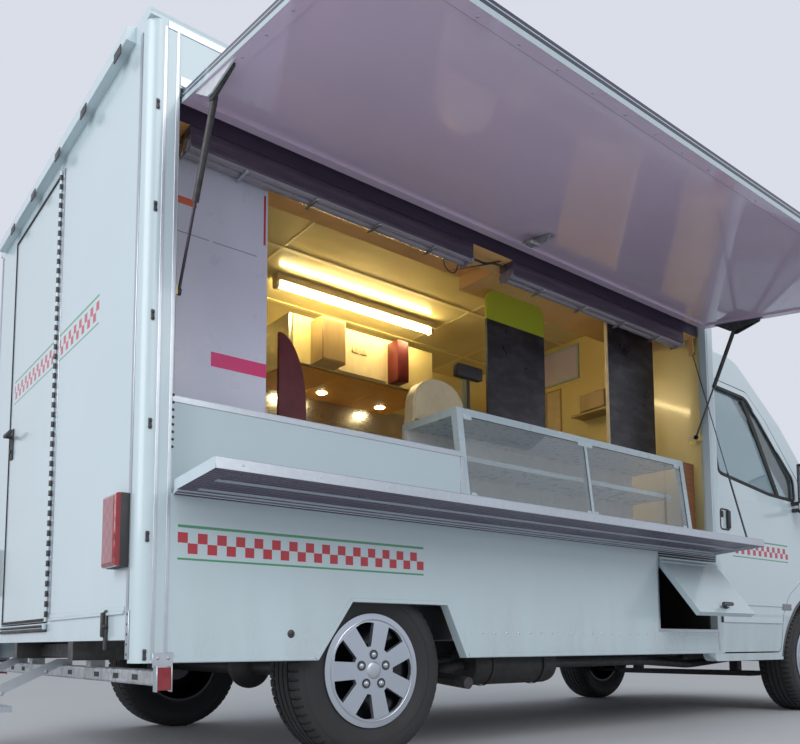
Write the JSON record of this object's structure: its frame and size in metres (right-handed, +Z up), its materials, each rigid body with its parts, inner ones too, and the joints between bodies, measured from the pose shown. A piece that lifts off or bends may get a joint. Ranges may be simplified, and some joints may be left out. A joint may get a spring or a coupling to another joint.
{
  "type": "food truck",
  "caption": "Forward-control catering truck with a raised serving hatch, lowered counter shelf, display case, locker, van cab with opening doors, steering and rolling wheels.",
  "frame": {"origin": "on the ground, under the middle of the box that holds the truck with its hatch raised", "axes": "+X towards the front of the cab, +Y towards the vehicle's left side, +Z up; the serving side faces -Y"},
  "size_m": [5.91, 3.29, 2.55],
  "materials": {
    "body_panel": "gloss",
    "body_trim": "satin",
    "cab_paint": "gloss",
    "chassis": "satin",
    "dark_steel": "satin",
    "zinc_steel": "satin",
    "step_alloy": "brushed",
    "hatch_skin": "gloss",
    "shelf_skin": "satin",
    "red_lens": "gloss",
    "clear_lens": "gloss",
    "counter_board": "satin",
    "case_frame": "satin",
    "glass": "gloss",
    "board_face": "satin",
    "lamp_housing": "satin",
    "header_panel": "satin",
    "kitchen_steel": "brushed",
    "dash_plastic": "matte",
    "seat_cloth": "matte",
    "bumper_plastic": "matte",
    "black_plastic": "matte",
    "engine_metal": "rough",
    "axle_metal": "satin",
    "tyre": "matte",
    "wheel_silver": "satin",
    "strut_body": "satin",
    "strut_rod": "polished"
  },
  "bodies": {
    "truck": {"chassis_frame": "chassis", "engine_block": "engine_metal", "rear_axle": "axle_metal", "front_axle": "axle_metal", "body_floor": "body_trim", "body_roof": "body_panel", "body_wall_right": "body_panel", "body_wall_left": "body_panel", "body_wall_rear": "body_panel", "body_wall_front": "body_panel", "corner_posts": "body_trim", "locker_box": "black_plastic", "rear_beam": "zinc_steel", "rear_step": "step_alloy", "tail_lamps": "red_lens", "counter_fascia": "counter_board", "case_end_board": "counter_board", "display_case_frame": "case_frame", "display_case_glass": "glass", "sign_boards": "board_face", "lamp_battens": "lamp_housing", "header_box": "header_panel", "kitchen_units": "kitchen_steel", "cab_shell": "cab_paint", "cab_floor": "dark_steel", "windscreen": "glass", "headlamps": "clear_lens", "front_bumper": "bumper_plastic", "grille": "black_plastic", "dashboard": "dash_plastic", "steering_wheel": "dash_plastic", "seat_pads": "seat_cloth"},
    "hatch": {"hatch_panel": "hatch_skin", "hatch_brackets": "dark_steel"},
    "strut_rear_cylinder": {"hatch_strut_rear_cylinder": "strut_body"},
    "strut_rear_rod": {"hatch_strut_rear_rod": "strut_rod"},
    "strut_front_cylinder": {"hatch_strut_front_cylinder": "strut_body"},
    "strut_front_rod": {"hatch_strut_front_rod": "strut_rod"},
    "shelf": {"counter_shelf": "shelf_skin"},
    "stay_cylinder": {"shelf_stay_cylinder": "strut_body"},
    "stay_rod": {"shelf_stay_rod": "strut_rod"},
    "locker_lid": {"locker_flap": "body_panel"},
    "rear_entry_door": {"rear_door": "body_panel"},
    "cab_door_l": {"cab_door_left": "cab_paint", "door_glass_left": "glass", "mirror_left": "black_plastic"},
    "cab_door_r": {"cab_door_right": "cab_paint", "door_glass_right": "glass", "mirror_right": "black_plastic"},
    "bonnet_lid": {"bonnet": "cab_paint"},
    "steer_l": {"knuckle_left": "axle_metal"},
    "steer_r": {"knuckle_right": "axle_metal"},
    "wheel_rl": {"tyre_rear_left": "tyre", "wheel_rear_left": "wheel_silver"},
    "wheel_rr": {"tyre_rear_right": "tyre", "wheel_rear_right": "wheel_silver"},
    "wheel_fl": {"tyre_front_left": "tyre", "wheel_front_left": "wheel_silver"},
    "wheel_fr": {"tyre_front_right": "tyre", "wheel_front_right": "wheel_silver"}
  },
  "joints": [
    {"name": "hatch_hinge", "type": "hinge", "parent": "truck", "child": "hatch", "pos_m": [-0.91, -0.60098, 2.29], "axis": [1, 0, 0], "range_deg": [0, 81]},
    {"name": "locker_flap_hinge", "type": "hinge", "parent": "truck", "child": "locker_lid", "pos_m": [0.4125, -0.60098, 0.889], "axis": [1, 0, 0], "range_deg": [-45, 38]},
    {"name": "counter_shelf_hinge", "type": "hinge", "parent": "truck", "child": "shelf", "pos_m": [-0.91, -0.60098, 0.926], "axis": [-1, 0, 0], "range_deg": [0, 86]},
    {"name": "shelf_stay_pivot", "type": "hinge", "parent": "shelf", "child": "stay_cylinder", "pos_m": [0.667, -0.8013, 1.00015], "axis": [1, 0, 0], "range_deg": [0, 99.01]},
    {"name": "shelf_stay_slide", "type": "slide", "parent": "stay_cylinder", "child": "stay_rod", "axis": [0, 0.2442, 0.9697], "range_m": [-0.1662, 0]},
    {"name": "rear_door_hinge", "type": "hinge", "parent": "truck", "child": "rear_entry_door", "pos_m": [-2.611, 0.37902, 1.487], "axis": [0, 0, 1], "range_deg": [0, 110]},
    {"name": "cab_door_left_hinge", "type": "hinge", "parent": "truck", "child": "cab_door_l", "pos_m": [1.959, 1.45202, 1.12], "axis": [0, 0, -1], "range_deg": [0, 68]},
    {"name": "cab_door_right_hinge", "type": "hinge", "parent": "truck", "child": "cab_door_r", "pos_m": [1.959, -0.52198, 1.12], "axis": [0, 0, 1], "range_deg": [0, 68]},
    {"name": "bonnet_hinge", "type": "hinge", "parent": "truck", "child": "bonnet_lid", "pos_m": [2.3149, 0.46502, 1.362], "axis": [0, -1, 0], "range_deg": [0, 55]},
    {"name": "steer_left", "type": "hinge", "parent": "truck", "child": "steer_l", "pos_m": [2.022, 1.25502, 0.345], "axis": [0, 0, 1], "range_deg": [-35, 35]},
    {"name": "steer_right", "type": "hinge", "parent": "truck", "child": "steer_r", "pos_m": [2.022, -0.32498, 0.345], "axis": [0, 0, 1], "range_deg": [-35, 35]},
    {"name": "hatch_strut_rear_pivot", "type": "hinge", "parent": "hatch", "child": "strut_rear_cylinder", "pos_m": [-2.465, -0.79406, 2.17943], "axis": [1, 0, 0], "range_deg": [-107.66, 0]},
    {"name": "hatch_strut_rear_slide", "type": "slide", "parent": "strut_rear_cylinder", "child": "strut_rear_rod", "axis": [0, 0.4202, -0.9074], "range_m": [-0.1548, 0]},
    {"name": "hatch_strut_front_pivot", "type": "hinge", "parent": "hatch", "child": "strut_front_cylinder", "pos_m": [0.643, -0.79406, 2.17943], "axis": [1, 0, 0], "range_deg": [-107.66, 0]},
    {"name": "hatch_strut_front_slide", "type": "slide", "parent": "strut_front_cylinder", "child": "strut_front_rod", "axis": [0, 0.4202, -0.9074], "range_m": [-0.1548, 0]},
    {"name": "rear_left_spin", "type": "hinge", "parent": "truck", "child": "wheel_rl", "pos_m": [-1.658, 1.36052, 0.345], "axis": [0, 1, 0], "continuous": true},
    {"name": "rear_right_spin", "type": "hinge", "parent": "truck", "child": "wheel_rr", "pos_m": [-1.658, -0.43048, 0.345], "axis": [0, 1, 0], "continuous": true},
    {"name": "front_left_spin", "type": "hinge", "parent": "steer_l", "child": "wheel_fl", "pos_m": [2.022, 1.32252, 0.345], "axis": [0, 1, 0], "continuous": true},
    {"name": "front_right_spin", "type": "hinge", "parent": "steer_r", "child": "wheel_fr", "pos_m": [2.022, -0.39248, 0.345], "axis": [0, 1, 0], "continuous": true}
  ],
  "couplings": [
    {"joint": "steer_right", "follows": "steer_left", "ratio": 1},
    {"joint": "shelf_stay_pivot", "follows": "counter_shelf_hinge", "ratio": 1.149},
    {"joint": "shelf_stay_slide", "follows": "counter_shelf_hinge", "m_per_rad": -0.1104},
    {"joint": "hatch_strut_rear_pivot", "follows": "hatch_hinge", "ratio": -1.3267},
    {"joint": "hatch_strut_rear_slide", "follows": "hatch_hinge", "m_per_rad": -0.10916},
    {"joint": "hatch_strut_front_pivot", "follows": "hatch_hinge", "ratio": -1.3267},
    {"joint": "hatch_strut_front_slide", "follows": "hatch_hinge", "m_per_rad": -0.10916}
  ]
}
